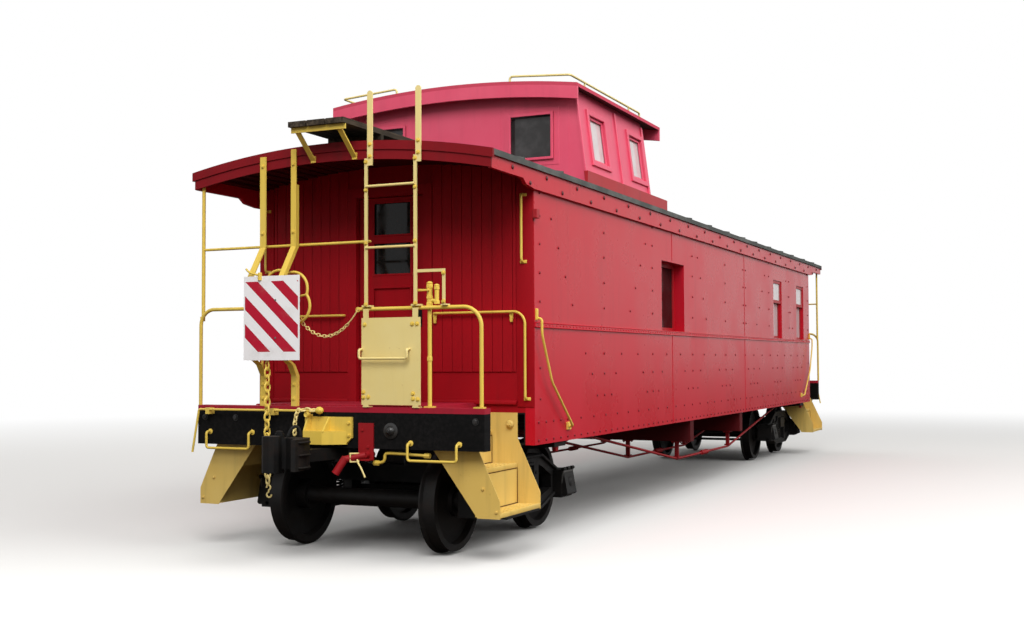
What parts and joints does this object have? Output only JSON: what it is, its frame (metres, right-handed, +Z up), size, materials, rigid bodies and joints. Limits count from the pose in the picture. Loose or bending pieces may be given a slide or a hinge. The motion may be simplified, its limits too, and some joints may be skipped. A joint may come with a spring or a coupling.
{
  "type": "railway caboose",
  "caption": "Red railway caboose with an offset cupola, end platforms with steps, ladders and railings, on two four-wheel trucks that swivel; wheels and end doors turn.",
  "frame": {"origin": "on the plane of the wheel flanges' lowest points, midway along and across the car; the rail tops lie 25 mm above it", "axes": "+X along the car towards end B, +Y across it to its left side as seen from end A looking along +X, +Z up"},
  "size_m": [14.9706, 2.996, 4.4435],
  "materials": {
    "board_white": "satin, red stripes",
    "dark_iron": "matt, rusty",
    "deck_red": "painted, worn",
    "deck_wood": "bare",
    "end_red": "satin, weathered",
    "glass": "clear, dusty",
    "glass_pale": "clouded by age",
    "rail_cream": "satin, rust stained",
    "rail_yellow": "satin, worn",
    "rod_red": "matt, dusty",
    "roof_black": "matt, weathered",
    "side_red": "satin, rust specks",
    "spring_steel": "matt, dusty",
    "trim_red": "painted, satin",
    "weathered_wood": "bare, grey",
    "wheel_steel": "matt, bright treads"
  },
  "bodies": {
    "caboose": {"air_brake": "dark_iron", "body_bolsters": "dark_iron", "brake_posts": "rail_yellow", "brake_wheels": "rail_yellow", "centre_sill": "dark_iron", "coupler_a": "dark_iron", "coupler_b": "dark_iron", "cupola_drip_boards": "side_red", "cupola_ends": "side_red", "cupola_fascias": "end_red", "cupola_glass": "glass", "cupola_grab_rails": "dark_iron", "cupola_roof": "roof_black", "cupola_sides": "side_red", "end_sills": "dark_iron", "end_wall_a": "end_red", "end_wall_b": "end_red", "floor": "deck_wood", "gate_plates": "rail_cream", "grab_irons": "rail_cream", "ladders": "rail_cream", "large_window_glass": "glass", "letter_boards": "side_red", "needle_beams": "rod_red", "platforms": "deck_red", "queen_posts": "dark_iron", "railings": "rail_cream", "roof": "roof_black", "roof_fascias": "end_red", "roof_walk": "weathered_wood", "side_sills": "dark_iron", "side_wall_left": "side_red", "side_wall_right": "side_red", "side_window_glass": "glass_pale", "side_window_sashes": "trim_red", "stand_pipes": "dark_iron", "steps_a": "rail_cream", "steps_b": "rail_cream", "strikers": "rail_yellow", "train_pipes": "rod_red", "truss_rods": "rod_red", "uncoupling_levers": "dark_iron", "walk_brackets": "dark_iron", "warning_board": "board_white"},
    "door_a": {"door_a": "end_red", "door_a_glass": "glass"},
    "truck_a": {"truck_a_bolster": "dark_iron", "truck_a_brake_beams": "dark_iron", "truck_a_frame": "dark_iron", "truck_a_springs": "spring_steel"},
    "wheelset_a1": {"wheelset_a1": "wheel_steel"},
    "wheelset_a2": {"wheelset_a2": "wheel_steel"},
    "door_b": {"door_b": "end_red", "door_b_glass": "glass"},
    "truck_b": {"truck_b_bolster": "dark_iron", "truck_b_brake_beams": "dark_iron", "truck_b_frame": "dark_iron", "truck_b_springs": "spring_steel"},
    "wheelset_b1": {"wheelset_b1": "wheel_steel"},
    "wheelset_b2": {"wheelset_b2": "wheel_steel"}
  },
  "joints": [
    {"name": "door_a_hinge", "type": "hinge", "parent": "caboose", "child": "door_a", "pos_m": [-5.806, 0.345, 2.025], "axis": [0, 0, 1], "range_deg": [0, 90]},
    {"name": "door_b_hinge", "type": "hinge", "parent": "caboose", "child": "door_b", "pos_m": [5.806, -0.345, 2.025], "axis": [0, 0, 1], "range_deg": [0, 90]},
    {"name": "truck_a_swivel", "type": "hinge", "parent": "caboose", "child": "truck_a", "pos_m": [-5.305, 0, 0.715], "axis": [0, 0, 1], "range_deg": [-3, 3]},
    {"name": "wheelset_a1_spin", "type": "hinge", "parent": "truck_a", "child": "wheelset_a1", "pos_m": [-6.1685, 0, 0.444], "axis": [0, 1, 0], "continuous": true},
    {"name": "wheelset_a2_spin", "type": "hinge", "parent": "truck_a", "child": "wheelset_a2", "pos_m": [-4.4415, 0, 0.444], "axis": [0, 1, 0], "continuous": true},
    {"name": "truck_b_swivel", "type": "hinge", "parent": "caboose", "child": "truck_b", "pos_m": [5.305, 0, 0.715], "axis": [0, 0, 1], "range_deg": [-3, 3]},
    {"name": "wheelset_b1_spin", "type": "hinge", "parent": "truck_b", "child": "wheelset_b1", "pos_m": [4.4415, 0, 0.444], "axis": [0, 1, 0], "continuous": true},
    {"name": "wheelset_b2_spin", "type": "hinge", "parent": "truck_b", "child": "wheelset_b2", "pos_m": [6.1685, 0, 0.444], "axis": [0, 1, 0], "continuous": true}
  ]
}
